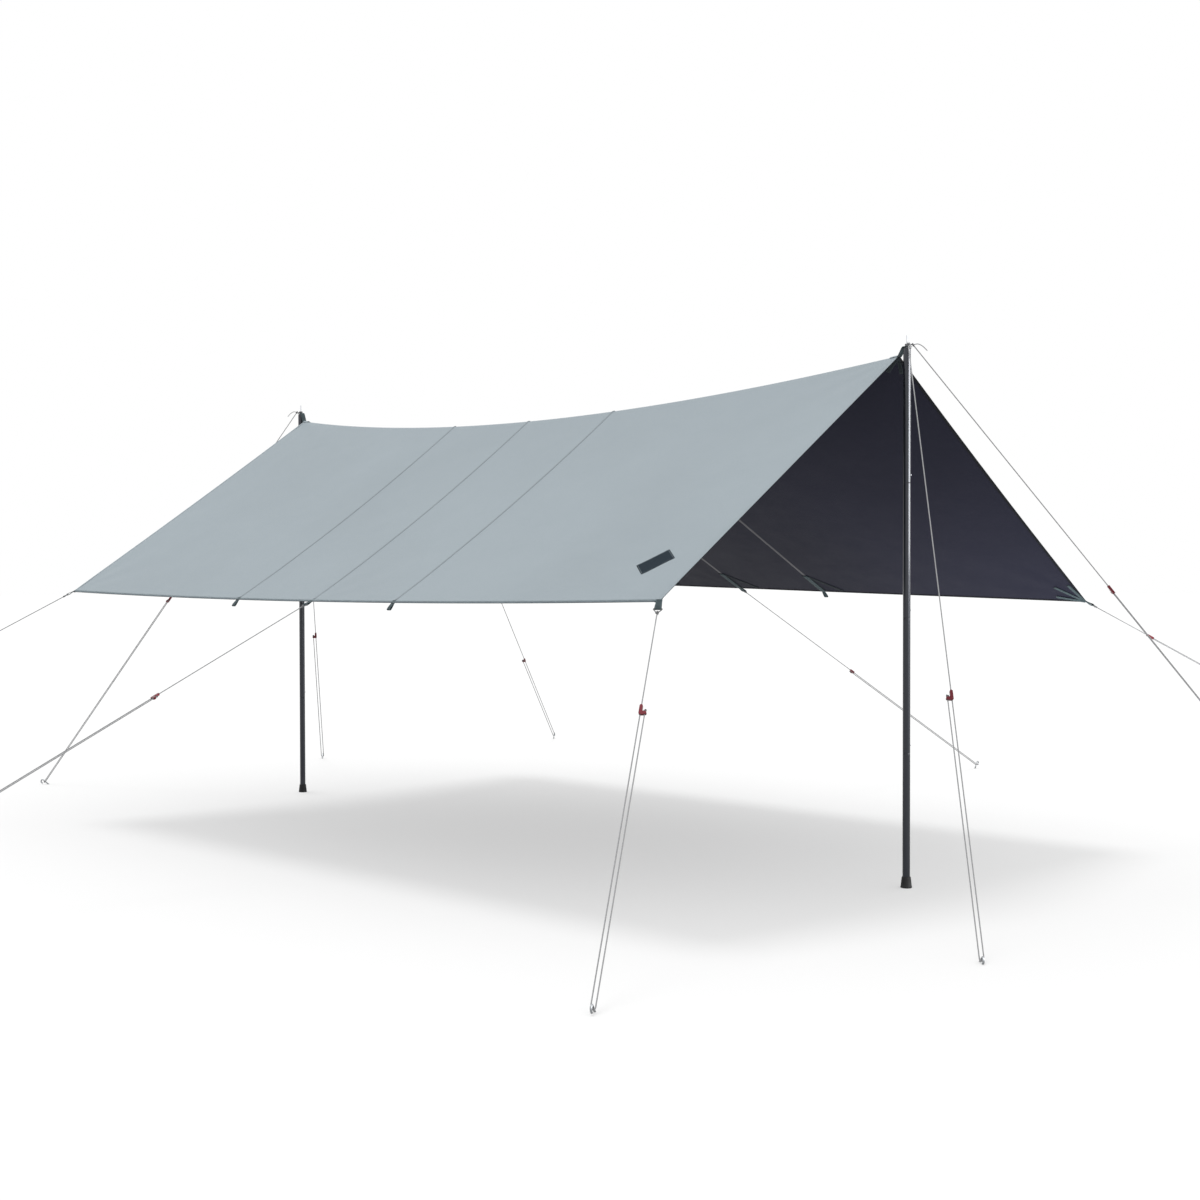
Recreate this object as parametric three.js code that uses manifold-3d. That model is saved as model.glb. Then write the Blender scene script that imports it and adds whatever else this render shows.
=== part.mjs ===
// Tarp shelter: one cloth pulled over two poles and held out by ten guy lines.
// Millimetres, +Z up. The origin lies on the ground, midway between the two poles.
// +X runs along the ridge to the front pole, and -Y is the left side.
import * as THREE from 'three';
import { mergeVertices } from 'three/addons/utils/BufferGeometryUtils.js';
import Module from 'manifold-3d';

const wasm = await Module();
wasm.setup();

// ---------- driving dimensions ----------
const GAP = 0.3; // between pieces that touch

// poles
const POLE_HEIGHT = 2000; // ground to the shoulder of the tip
const POLE_X = 1935; // ridge centre to a pole's axis
const SECTIONS = 4;
const TUBE_R = 14;
const TUBE_BORE_R = 12.5;
const SPIGOT_R = TUBE_BORE_R - GAP;
const SPIGOT_BORE_R = 10.9;
const SPIGOT_LENGTH = 60;
const SPIGOT_NECK = 4; // wall that carries a spigot inside the top of its tube
const TUBE_SIDES = 20;
const FOOT_HEIGHT = 41;
const FOOT_FLOOR = 6;
const FOOT_R = 21.5;
const FOOT_TOP_R = 16.8;
const CHAMFER = 1.5; // on the small turned pieces
const PIN_R = 3.5;
const PIN_HEIGHT = 45;
const DOME_DROP = 6; // the tip's shoulder falls away to its rim
const TIP_PLUG_LENGTH = 30;
const SMALL_SIDES = 12;
const HALF_TURN_STEPS = 6;
const CURVE_SEGMENTS = 4; // for each arc of a small outline

// snap buttons that lock the pole sections
const BUTTON_R = 2.8;
const BUTTON_HOLE_R = 3.4;
const BUTTON_HEAD_R = 4.5;
const BUTTON_HEAD_AT = 7; // from the pole's axis to the back of the head
const BUTTON_HEAD_DEPTH = 1.6;
const BUTTON_ABOVE_JOINT = 30;
const BUTTON_AZIMUTH = Math.PI / 4;
const BUTTON_PROUD = 3;

// cloth
const CLOTH_THICKNESS = 2;
const RIDGE_HALF = 1898; // ridge centre to the end of the ridge
const CORNER_X = 1920;
const EDGE_Y = 1313;
const EDGE_INSET = 15; // how far the side edges curve in between the corners
const RIDGE_LOW = 1838; // lowest point of the ridge
const RIDGE_LOW_X = -50;
const RIDGE_RISE = 0.0000355; // rise of the ridge per square millimetre from its lowest point
const RIDGE_DRIFT = 130; // the ridge hangs this far to the left at mid-length, where nothing holds it
const GABLE_SAG = 4; // sag of the open ends between the ridge and a corner
const EDGES = {
  // corner heights, sag of the edge between them, and sag of the slope above the edge at mid-length
  left: { side: -1, front: 1083, rear: 1078, sag: 23, slopeSag: 22 },
  right: { side: 1, front: 1040, rear: 1125, sag: 0, slopeSag: 0 },
};
const CLOTH_STEPS_X = 24;
const CLOTH_STEPS_Y = 16;

// webbing
const WEB = 2.4;
const LOOP_LENGTH = 32;
const LOOP_HEIGHT = 9;
const LOOP_WIDTH = 22;
const LOOP_OFF_CLOTH = 2;
const TAB_WIDTH = 26;
const TAB_LAP = 34; // length of the ridge tab that lies on the cloth
const TAB_HOLE_R = 4.6;
const TAB_LEVEL = 2002.6; // height of the tab's flat end, where the pin goes through
const TAB_REACH = 14;

// guy lines, tensioners and pegs
const CORD_R = 2;
const CORD_SIDES = 8;
const STRANDS = 14; // between the two strands below a tensioner
const CORD_LEVEL = 2009; // height of the pole lines where they leave the pin
const CORD_START = 22; // from the pin's axis to the start of a pole line
const TENSIONER_DEPTH = 9;
const TENSIONER_BORE_R = 2.7;
const ARM_R = 5; // half the width of a tensioner's long arm
const ARM_TOP = 15; // from a tensioner's middle to the centre of each rounded end of its long arm
const ARM_BOTTOM = 12;
const LOBE_R = 5.5; // the short arm's rounded end
const LOBE_DROP = 10.5;
const STRAND_END = 2; // the returning strand stops this far below a tensioner's middle
const PEG_R = 3.5;
const PEG_HOOK_R = 9;
const PEG_HOOK_TIP = 6; // how far the hook's end comes back down
const PEG_STRAIGHT = 38; // straight shank above the ground
const PEG_TRIM = 8; // extra length below the ground, cut off level with it
const PEG_EYE = 26; // height along the shank at which the line goes round it
const LINES = [
  // name, where it is tied, where its peg meets the ground, the tensioner's distance down the line;
  // mirrored lines have the returning strand on the other side
  { name: 'front_left', from: 'left', end: 1, ground: [2400, -2070], slider: 426 },
  { name: 'rear_left', from: 'left', end: -1, ground: [-3060, -2865], slider: 620 },
  { name: 'front_right', from: 'right', end: 1, ground: [3060, 2865], slider: 324 },
  { name: 'rear_right', from: 'right', end: -1, ground: [-3060, 2865], slider: 1070 },
  { name: 'side_left', from: 'left', end: 0, ground: [0, -3400], slider: 775 },
  { name: 'side_right', from: 'right', end: 0, ground: [0, 3400], slider: 1025 },
  { name: 'front_pole_left', from: 'pole', end: 1, ground: [2800, -835], slider: 1445, mirrored: true },
  { name: 'front_pole_right', from: 'pole', end: 1, ground: [3105, 1090], slider: 1160 },
  { name: 'rear_pole_left', from: 'pole', end: -1, ground: [-3200, -800], slider: 1240 },
  { name: 'rear_pole_right', from: 'pole', end: -1, ground: [-3180, 1010], slider: 1565 },
];

// ---------- materials ----------
const MATERIALS = {
  cloth: new THREE.MeshStandardMaterial({ color: 0xa3aeb4, roughness: 0.85, side: THREE.DoubleSide }),
  webbing: new THREE.MeshStandardMaterial({ color: 0x2d3136, roughness: 0.9 }),
  pole: new THREE.MeshStandardMaterial({ color: 0x24272c, roughness: 0.4, metalness: 0.8 }),
  foot: new THREE.MeshStandardMaterial({ color: 0x17181a, roughness: 0.8 }),
  steel: new THREE.MeshStandardMaterial({ color: 0x9a9da1, roughness: 0.35, metalness: 1 }),
  cord: new THREE.MeshStandardMaterial({ color: 0xc9cbca, roughness: 0.8 }),
  tensioner: new THREE.MeshStandardMaterial({ color: 0xb0252b, roughness: 0.4, metalness: 0.6 }),
};

const shelter = new THREE.Group();
const UP = new THREE.Vector3(0, 0, 1);

// ---------- helpers ----------
function addMesh(name, geometry, material, parent = shelter) {
  const mesh = new THREE.Mesh(geometry, MATERIALS[material]);
  mesh.name = name;
  parent.add(mesh);
  return mesh;
}

function toSolid(geometry) {
  const bare = geometry.clone();
  bare.deleteAttribute('normal');
  bare.deleteAttribute('uv');
  const merged = mergeVertices(bare, 1e-4);
  const solid = new wasm.Mesh({
    numProp: 3,
    vertProperties: new Float32Array(merged.attributes.position.array),
    triVerts: new Uint32Array(merged.index.array),
  });
  return new wasm.Manifold(solid);
}

function toGeometry(solid) {
  const mesh = solid.getMesh();
  const geometry = new THREE.BufferGeometry();
  geometry.setAttribute('position', new THREE.BufferAttribute(mesh.vertProperties, 3));
  geometry.setIndex(new THREE.BufferAttribute(mesh.triVerts, 1));
  geometry.computeVertexNormals();
  return geometry;
}

function cut(geometry, ...tools) {
  const solids = tools.map(toSolid);
  return toGeometry(solids.reduce((left, tool) => left.subtract(tool), toSolid(geometry)));
}

// A solid of revolution about Z from [radius, height] pairs; a tube's profile is closed on itself.
function turned(profile, sides, closed = false) {
  const points = profile.map(([radius, height]) => new THREE.Vector2(radius, height));
  if (closed) points.push(points[0].clone());
  return new THREE.LatheGeometry(points, sides).rotateX(Math.PI / 2);
}

// A plain rod along one axis, for cutting holes.
function rod(radius, length, axis, middle) {
  const geometry = new THREE.CylinderGeometry(radius, radius, length, SMALL_SIDES);
  const turn = new THREE.Quaternion().setFromUnitVectors(new THREE.Vector3(0, 1, 0), axis);
  return geometry.applyQuaternion(turn).translate(middle.x, middle.y, middle.z);
}

// A route through chosen points, sampled at exactly those points.
class Route extends THREE.Curve {
  constructor(points) {
    super();
    this.points = points;
  }

  getPoint(t, target = new THREE.Vector3()) {
    const place = t * (this.points.length - 1);
    const first = Math.min(Math.floor(place), this.points.length - 2);
    return target.lerpVectors(this.points[first], this.points[first + 1], place - first);
  }

  getPointAt(t, target) {
    return this.getPoint(t, target);
  }

  getTangentAt(t, target = new THREE.Vector3()) {
    const step = 0.5 / (this.points.length - 1);
    const before = this.getPoint(Math.max(0, t - step));
    const after = this.getPoint(Math.min(1, t + step));
    return target.subVectors(after, before).normalize();
  }

  getSpacedPoints(count) {
    return this.getPoints(count);
  }
}

function tubeAlong(points, radius) {
  const section = new THREE.Shape();
  for (let i = 0; i < CORD_SIDES; i += 1) {
    const angle = (2 * Math.PI * i) / CORD_SIDES;
    const corner = [radius * Math.cos(angle), radius * Math.sin(angle)];
    if (i === 0) section.moveTo(...corner);
    else section.lineTo(...corner);
  }
  section.closePath();
  const extrudePath = new Route(points);
  return new THREE.ExtrudeGeometry(section, { steps: points.length - 1, extrudePath, bevelEnabled: false });
}

// ---------- cloth ----------
function ridgeHeight(x) {
  return RIDGE_LOW + RIDGE_RISE * (x - RIDGE_LOW_X) ** 2;
}

function edgeHeight(edge, along) {
  const straight = THREE.MathUtils.lerp(edge.rear, edge.front, (along + 1) / 2);
  return straight - edge.sag * (1 - along * along);
}

// Middle surface of the cloth: along runs -1..1 from rear to front, across -1..1 from left to right.
function clothPoint(along, across) {
  const edge = across < 0 ? EDGES.left : EDGES.right;
  const out = Math.abs(across);
  const middle = 1 - along * along; // 1 at mid-length, 0 at the open ends
  const x = along * THREE.MathUtils.lerp(RIDGE_HALF, CORNER_X, out * out);
  const y = across * (EDGE_Y - EDGE_INSET * middle) - RIDGE_DRIFT * middle * (1 - out);
  const chord = THREE.MathUtils.lerp(ridgeHeight(x), edgeHeight(edge, along), out);
  const z = chord - 4 * (GABLE_SAG + edge.slopeSag * middle) * out * (1 - out);
  return new THREE.Vector3(x, y, z);
}

function makeCloth() {
  const sheet = new THREE.BoxGeometry(2, 2, 1, CLOTH_STEPS_X, CLOTH_STEPS_Y, 1);
  const position = sheet.attributes.position;
  const slope = Math.hypot(EDGE_Y, RIDGE_LOW - EDGES.left.front) / EDGE_Y;
  for (let i = 0; i < position.count; i += 1) {
    const point = clothPoint(position.getX(i), position.getY(i));
    point.z += position.getZ(i) * CLOTH_THICKNESS * slope;
    position.setXYZ(i, point.x, point.y, point.z);
  }
  addMesh('canopy_cloth', sheet, 'cloth');
}

// ---------- poles ----------
function sectionProfile(low, high, hasSpigot) {
  if (!hasSpigot) return [[TUBE_BORE_R, low], [TUBE_R, low], [TUBE_R, high], [TUBE_BORE_R, high]];
  const neck = high - SPIGOT_NECK;
  return [
    [TUBE_BORE_R, low],
    [TUBE_R, low],
    [TUBE_R, high],
    [SPIGOT_R, high],
    [SPIGOT_R, high + SPIGOT_LENGTH],
    [SPIGOT_BORE_R, high + SPIGOT_LENGTH],
    [SPIGOT_BORE_R, neck],
    [TUBE_BORE_R, neck - SPIGOT_NECK / 2],
  ];
}

function makePole(name, x) {
  const pole = new THREE.Group();
  pole.position.x = x;
  shelter.add(pole);

  const foot = [
    [0, 0],
    [FOOT_R - CHAMFER, 0],
    [FOOT_R, CHAMFER],
    [FOOT_TOP_R, FOOT_HEIGHT - CHAMFER],
    [FOOT_TOP_R - CHAMFER, FOOT_HEIGHT],
    [TUBE_R + GAP, FOOT_HEIGHT],
    [TUBE_R + GAP, FOOT_FLOOR],
    [0, FOOT_FLOOR],
  ];
  addMesh(`${name}_foot`, turned(foot, TUBE_SIDES), 'foot', pole);

  const radial = new THREE.Vector3(Math.cos(BUTTON_AZIMUTH), Math.sin(BUTTON_AZIMUTH), 0);
  const rim = POLE_HEIGHT - DOME_DROP;
  const pitch = POLE_HEIGHT / SECTIONS;
  for (let i = 0; i < SECTIONS; i += 1) {
    const low = i === 0 ? FOOT_FLOOR + GAP : i * pitch;
    const last = i === SECTIONS - 1;
    const high = last ? rim - GAP : (i + 1) * pitch - GAP;
    const holes = [];
    if (i > 0) holes.push(i * pitch + BUTTON_ABOVE_JOINT);
    if (!last) holes.push((i + 1) * pitch + BUTTON_ABOVE_JOINT);
    const drills = holes.map((height) => {
      const middle = radial.clone().multiplyScalar(TUBE_R).setZ(height);
      return rod(BUTTON_HOLE_R, TUBE_R, radial, middle);
    });
    const tube = turned(sectionProfile(low, high, !last), TUBE_SIDES, true);
    addMesh(`${name}_section_${i + 1}`, cut(tube, ...drills), 'pole', pole);
  }

  const tip = [
    [0, rim - TIP_PLUG_LENGTH],
    [SPIGOT_R, rim - TIP_PLUG_LENGTH],
    [SPIGOT_R, rim],
    [TUBE_R, rim],
    [TUBE_R - CHAMFER, rim + DOME_DROP / 2],
    [PIN_R + CHAMFER, POLE_HEIGHT],
    [PIN_R, POLE_HEIGHT],
    [PIN_R, POLE_HEIGHT + PIN_HEIGHT - CHAMFER],
    [PIN_R - CHAMFER, POLE_HEIGHT + PIN_HEIGHT],
    [0, POLE_HEIGHT + PIN_HEIGHT],
  ];
  addMesh(`${name}_tip_pin`, turned(tip, TUBE_SIDES), 'steel', pole);

  // button: a headed pin, its head inside the spigot
  const face = TUBE_R + BUTTON_PROUD;
  const shoulder = BUTTON_HEAD_AT + BUTTON_HEAD_DEPTH;
  const button = [
    [0, BUTTON_HEAD_AT],
    [BUTTON_HEAD_R, BUTTON_HEAD_AT],
    [BUTTON_HEAD_R, shoulder],
    [BUTTON_R, shoulder],
    [BUTTON_R, face - CHAMFER],
    [BUTTON_R - CHAMFER, face],
    [0, face],
  ];
  const outwards = new THREE.Quaternion().setFromUnitVectors(UP, radial);
  for (let i = 1; i < SECTIONS; i += 1) {
    const mesh = addMesh(`${name}_button_${i}`, turned(button, SMALL_SIDES), 'steel', pole);
    mesh.quaternion.copy(outwards);
    mesh.position.z = i * pitch + BUTTON_ABOVE_JOINT;
  }
}

// ---------- webbing ----------
// The outline of a strip of even thickness along a polyline in a plane.
function stripOutline(points, thickness) {
  const offset = (sign) => points.map((point, i) => {
    const before = points[Math.max(0, i - 1)];
    const after = points[Math.min(points.length - 1, i + 1)];
    const along = after.clone().sub(before).normalize();
    return new THREE.Vector2(-along.y, along.x).multiplyScalar((sign * thickness) / 2).add(point);
  });
  return new THREE.Shape([...offset(1), ...offset(-1).reverse()]);
}

// Webbing from the end of the ridge up to the pole's pin, with a hole for the pin.
function makeRidgeTab(name, end) {
  const onCloth = (x) => new THREE.Vector2(x, ridgeHeight(end * x) + CLOTH_THICKNESS / 2 + WEB);
  const path = [
    onCloth(RIDGE_HALF - TAB_LAP),
    onCloth(RIDGE_HALF),
    new THREE.Vector2(POLE_X - TAB_REACH, TAB_LEVEL),
    new THREE.Vector2(POLE_X + TAB_REACH, TAB_LEVEL),
  ];
  const settings = { depth: TAB_WIDTH, bevelEnabled: false };
  const strip = new THREE.ExtrudeGeometry(stripOutline(path, WEB), settings);
  strip.translate(0, 0, -TAB_WIDTH / 2).rotateX(Math.PI / 2);
  const hole = rod(TAB_HOLE_R, 4 * WEB, UP, new THREE.Vector3(POLE_X, 0, TAB_LEVEL));
  const mesh = addMesh(name, cut(strip, hole), 'webbing');
  if (end < 0) mesh.rotation.z = Math.PI;
}

// A flat closed loop of webbing, from the cloth outwards along a guy line.
function makeLoop(name, start, frame) {
  const half = LOOP_HEIGHT / 2;
  const loop = new THREE.Shape();
  loop.absarc(half, 0, half, Math.PI / 2, (3 * Math.PI) / 2, false);
  loop.absarc(LOOP_LENGTH - half, 0, half, -Math.PI / 2, Math.PI / 2, false);
  const eye = new THREE.Path();
  const inner = half - WEB;
  eye.absarc(half, 0, inner, Math.PI / 2, (3 * Math.PI) / 2, false);
  eye.absarc(LOOP_LENGTH - half, 0, inner, -Math.PI / 2, Math.PI / 2, false);
  loop.holes.push(eye);
  const settings = { depth: LOOP_WIDTH, bevelEnabled: false, curveSegments: CURVE_SEGMENTS };
  const band = new THREE.ExtrudeGeometry(loop, settings);
  band.translate(0, 0, -LOOP_WIDTH / 2);
  const mesh = addMesh(name, band, 'webbing');
  const turn = new THREE.Matrix4().makeBasis(frame.down, frame.normal.clone().negate(), frame.side);
  mesh.quaternion.setFromRotationMatrix(turn);
  mesh.position.copy(start);
}

// ---------- guy lines ----------
// down runs along the line to the peg, side is level, and normal points up out of the line.
function lineFrame(from, to) {
  const down = to.clone().sub(from).normalize();
  const side = new THREE.Vector3().crossVectors(UP, down).normalize();
  const normal = new THREE.Vector3().crossVectors(down, side).normalize();
  return { down, side, normal };
}

function makePeg(name, foot, frame) {
  const along = (up, out) => {
    return foot.clone().addScaledVector(frame.normal, up).addScaledVector(frame.down, out);
  };
  const route = [along(-PEG_TRIM, 0), along(PEG_STRAIGHT / 2, 0), along(PEG_STRAIGHT, 0)];
  for (let i = 1; i <= HALF_TURN_STEPS; i += 1) {
    const angle = Math.PI * (1 - i / HALF_TURN_STEPS);
    route.push(along(PEG_STRAIGHT + PEG_HOOK_R * Math.sin(angle), PEG_HOOK_R * (1 + Math.cos(angle))));
  }
  route.push(along(PEG_STRAIGHT - PEG_HOOK_TIP, 2 * PEG_HOOK_R));
  const size = 2 * PEG_STRAIGHT;
  const ground = new THREE.BoxGeometry(size, size, size).translate(foot.x, foot.y, -size / 2);
  addMesh(name, cut(tubeAlong(route, PEG_R), ground), 'steel');
}

// A hooked slider: its long arm runs on the single strand, and its short arm holds the one that comes back.
function makeTensioner(name, middle, across, down) {
  const outline = new THREE.Shape();
  outline.moveTo(-ARM_R, ARM_TOP);
  outline.absarc(0, ARM_TOP, ARM_R, Math.PI, 0, true);
  outline.lineTo(ARM_R, 0);
  outline.absarc(STRANDS, -LOBE_DROP, LOBE_R, Math.PI / 2, -Math.PI / 2, true);
  outline.lineTo(0, -ARM_BOTTOM - ARM_R);
  outline.absarc(0, -ARM_BOTTOM, ARM_R, -Math.PI / 2, -Math.PI, true);
  outline.closePath();
  const settings = { depth: TENSIONER_DEPTH, bevelEnabled: false, curveSegments: CURVE_SEGMENTS };
  const body = new THREE.ExtrudeGeometry(outline, settings);
  body.translate(0, 0, -TENSIONER_DEPTH / 2);
  const lengthways = new THREE.Vector3(0, 1, 0);
  const boreLength = 4 * (ARM_TOP + ARM_R);
  const bores = [0, STRANDS].map((x) => {
    return rod(TENSIONER_BORE_R, boreLength, lengthways, new THREE.Vector3(x, 0, 0));
  });
  const mesh = addMesh(name, cut(body, ...bores), 'tensioner');
  const up = down.clone().negate();
  const turn = new THREE.Matrix4().makeBasis(across, up, across.clone().cross(up));
  mesh.quaternion.setFromRotationMatrix(turn);
  mesh.position.copy(middle);
}

function lineStart(line) {
  if (line.from === 'pole') return new THREE.Vector3(line.end * POLE_X, 0, CORD_LEVEL);
  return clothPoint(line.end, EDGES[line.from].side);
}

function makeLine(line) {
  const tied = lineStart(line);
  const foot = new THREE.Vector3(line.ground[0], line.ground[1], 0);
  const rough = lineFrame(tied, foot);
  if (line.from === 'pole') {
    tied.addScaledVector(new THREE.Vector3(rough.down.x, rough.down.y, 0).normalize(), CORD_START);
  }
  // the line goes round the peg's shank, so its first strand passes beside the peg
  const eye = foot.clone().addScaledVector(rough.normal, PEG_EYE);
  const hand = line.mirrored ? -1 : 1;
  const aim = eye.clone().addScaledVector(rough.side, (-hand * STRANDS) / 2);
  const frame = lineFrame(tied, aim);
  const across = frame.side.clone().multiplyScalar(hand);
  const onLine = (distance) => tied.clone().addScaledVector(frame.down, distance);

  let start = 0;
  if (line.from !== 'pole') {
    makeLoop(`loop_${line.name}`, onLine(LOOP_OFF_CLOTH), frame);
    start = LOOP_OFF_CLOTH + LOOP_LENGTH + GAP;
  }
  const slider = onLine(line.slider);
  const route = [onLine(start), slider.clone(), onLine(tied.distanceTo(aim))];
  const half = STRANDS / 2;
  const centre = aim.clone().addScaledVector(across, half);
  for (let i = 1; i <= HALF_TURN_STEPS; i += 1) {
    const angle = Math.PI * (1 - i / HALF_TURN_STEPS);
    const out = centre.clone().addScaledVector(across, half * Math.cos(angle));
    route.push(out.addScaledVector(frame.down, half * Math.sin(angle)));
  }
  route.push(slider.clone().addScaledVector(across, STRANDS).addScaledVector(frame.down, STRAND_END));
  addMesh(`guy_line_${line.name}`, tubeAlong(route, CORD_R), 'cord');
  makeTensioner(`tensioner_${line.name}`, slider, across, frame.down);
  makePeg(`peg_${line.name}`, foot, rough);
}

// ---------- assembly ----------
makeCloth();
makePole('front_pole', POLE_X);
makePole('rear_pole', -POLE_X);
makeRidgeTab('ridge_tab_front', 1);
makeRidgeTab('ridge_tab_rear', -1);
LINES.forEach(makeLine);

export default shelter;
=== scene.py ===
"""The looks of a tarp shelter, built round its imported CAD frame.

Metres, +Z up. +X runs along the ridge to the front pole, and -Y is the left side.
Places on the cloth are given as (along, across): along runs -1..1 from the rear end to the front end,
and across runs -1..1 from the left edge over the ridge to the right edge.
"""

import math
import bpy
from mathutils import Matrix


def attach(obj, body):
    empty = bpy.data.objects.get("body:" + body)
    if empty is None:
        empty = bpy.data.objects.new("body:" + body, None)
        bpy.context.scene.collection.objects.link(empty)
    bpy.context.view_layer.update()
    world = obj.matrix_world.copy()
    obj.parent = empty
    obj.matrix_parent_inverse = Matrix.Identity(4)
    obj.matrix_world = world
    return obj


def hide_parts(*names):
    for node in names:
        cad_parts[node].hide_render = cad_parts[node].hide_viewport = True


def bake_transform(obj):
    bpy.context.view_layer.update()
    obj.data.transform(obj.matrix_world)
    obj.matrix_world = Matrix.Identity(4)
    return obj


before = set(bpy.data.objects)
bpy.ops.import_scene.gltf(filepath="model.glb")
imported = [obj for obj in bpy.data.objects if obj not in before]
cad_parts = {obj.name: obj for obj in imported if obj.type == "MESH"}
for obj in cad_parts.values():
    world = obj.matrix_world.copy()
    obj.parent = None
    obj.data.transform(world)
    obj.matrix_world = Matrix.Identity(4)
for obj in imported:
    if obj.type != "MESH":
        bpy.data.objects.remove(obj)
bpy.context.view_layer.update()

from types import SimpleNamespace

import bpy
import numpy as np
from mathutils import Quaternion, Vector

ROOT = "shelter"
UP = Vector((0, 0, 1))
GAP = 0.0003
ENDS = ((-1, "rear"), (1, "front"))
HANDS = ((-1, "left"), (1, "right"))

# ---------- the frame's dimensions, in metres ----------
# cloth
RIDGE_HALF = 1.898
CORNER_X = 1.920
EDGE_Y = 1.313
EDGE_INSET = 0.015
RIDGE_LOW = 1.838
RIDGE_LOW_X = -0.050
RIDGE_RISE = 0.0355
RIDGE_DRIFT = 0.130
GABLE_SAG = 0.004
EDGES = {
    "left": {"side": -1, "front": 1.083, "rear": 1.078, "sag": 0.023, "slope_sag": 0.022},
    "right": {"side": 1, "front": 1.040, "rear": 1.125, "sag": 0, "slope_sag": 0},
}
SLOPE = 1.6  # from ridge to edge, along the cloth
CLOTH = 0.001
SEAMS = (-0.275, 0, 0.275)
RIDGE_ROUND = 0.006
GRID_COLUMNS = 193
GRID_ROWS = 92  # on each slope
FOLD_ANCHORS = (  # along, across, height of the folds
    (1, -1, 0.0022), (-1, -1, 0.0022), (1, 1, 0.0022), (-1, 1, 0.0022),
    (0, -1, 0.0014), (0, 1, 0.0014), (1, 0, 0.0018), (-1, 0, 0.0018),
)
FOLD_REACH = 0.42
PANEL_SAG = 0.0035
PATCH_HALF_LONG = 0.063
PATCH_HALF_WIDE = 0.047
PATCH_STITCH_IN = 0.004
PATCH_PLACE = (0.8934, -0.8437)
PATCH_TURN = math.radians(48)
PATCH_CORNER = 0.006
PATCH_LIFTS = (CLOTH / 2 + 0.0009, CLOTH / 2 - 0.0001)

# strips on the cloth: how far they are from its middle, their width and their thickness
SEAM = (CLOTH / 2 + 0.0003, 0.011, 0.0009)
SEAM_TAPE = (-CLOTH / 2 - 0.00025, 0.016, 0.0006)
HEM = (0, 0.013, CLOTH + 0.0014)
FAN_STRAP = (-CLOTH / 2 - 0.0008, 0.016, 0.0014)
SIDE_STRAP = (-CLOTH / 2 - 0.0022, 0.025, 0.0016)
# the near-black band and strip under each side strap are painted shade
SIDE_SHADE_BAND = (-CLOTH / 2 - 0.0006, 0.040, 0.0008)
SIDE_SHADOW_STRIP = (-CLOTH / 2 - 0.0014, 0.018, 0.0012)
STRIP_RING = (
    (-0.5, -0.2), (-0.46, -0.5), (0.46, -0.5), (0.5, -0.2),
    (0.5, 0.2), (0.46, 0.5), (-0.46, 0.5), (-0.5, 0.2),
)
SEAM_END = 0.996
HEM_IN = 0.005
CORNER_FAN = ((9, 0.12), (42, 0.135), (77, 0.12))  # each strap's angle and length
RIDGE_FAN = ((14, 0.085), (42, 0.10), (72, 0.095))
SIDE_STRAP_TOP = 0.90

# poles
POLE_X = 1.935
POLE_HEIGHT = 2.0
SECTIONS = 4
TUBE_R = 0.014
FOOT_HEIGHT = 0.041
FOOT_R = 0.0215
FOOT_TOP_R = 0.0168
PIN_R = 0.0035
PIN_HEIGHT = 0.045
RIM_DROP = 0.006  # from the pole's top to the top section's upper end
CHAMFER = 0.0008
POLE_SIDES = 48
TAB_LEVEL = 2.0026
TAB_WIDTH = 0.026
TAB_REACH = 0.014
TAB_LAP = 0.034
TAB_HOLE_R = 0.0046
RIDGE_SLOPE = 0.58  # of the cloth beside the ridge, near its ends
WEB = 0.0018
EYELET_SIDES = 40

# guy lines, tensioners and pegs
CORD_R = 0.002
STRANDS = 0.014
WRAP_R = STRANDS / 2
CORD_LEVEL = 2.009
CORD_START = 0.022
TIE_APART = 0.002
LOOP_OFF_CLOTH = 0.002
LOOP_LENGTH = 0.032
LOOP_WIDTH = 0.022
FREE_LOOP = (0.036, 0.020)  # length and width of a loop that carries no line
PEG_R = 0.0035
PEG_HOOK_R = 0.009
PEG_STRAIGHT = 0.038
PEG_HOOK_TIP = 0.006
PEG_EYE = 0.026
PEG_SIDES = 16
STRAND_END = 0.002
STOPPER_DROP = 0.0015  # from a tensioner's middle down to the knot on its short arm
TIE_R = 0.0018
PIN_SLACK = 0.0018  # lets the pole lean inside the cord's loop
KNOT_BEYOND = 0.013  # from the end of a webbing loop to the knot
KNOT_R = 0.00175
TAIL_R = 0.0017
ARM_R = 0.005
ARM_TOP = 0.015
ARM_BOTTOM = 0.012
LOBE_R = 0.0055
LOBE_DROP = 0.0105
TENSIONER_DEPTH = 0.009
BORE_R = 0.0027
MIRRORED = ("front_pole_left",)  # the returning strand lies on the other side
# name, where it is tied, the end of the ridge or edge, where its peg meets the ground, tensioner's distance
LINES = (
    ("front_left", "left", 1, (2.400, -2.070), 0.426),
    ("rear_left", "left", -1, (-3.060, -2.865), 0.620),
    ("front_right", "right", 1, (3.060, 2.865), 0.324),
    ("rear_right", "right", -1, (-3.060, 2.865), 1.070),
    ("side_left", "left", 0, (0, -3.400), 0.775),
    ("side_right", "right", 0, (0, 3.400), 1.025),
    ("front_pole_left", "pole", 1, (2.800, -0.835), 1.445),
    ("front_pole_right", "pole", 1, (3.105, 1.090), 1.160),
    ("rear_pole_left", "pole", -1, (-3.200, -0.800), 1.240),
    ("rear_pole_right", "pole", -1, (-3.180, 1.010), 1.565),
)

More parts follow.
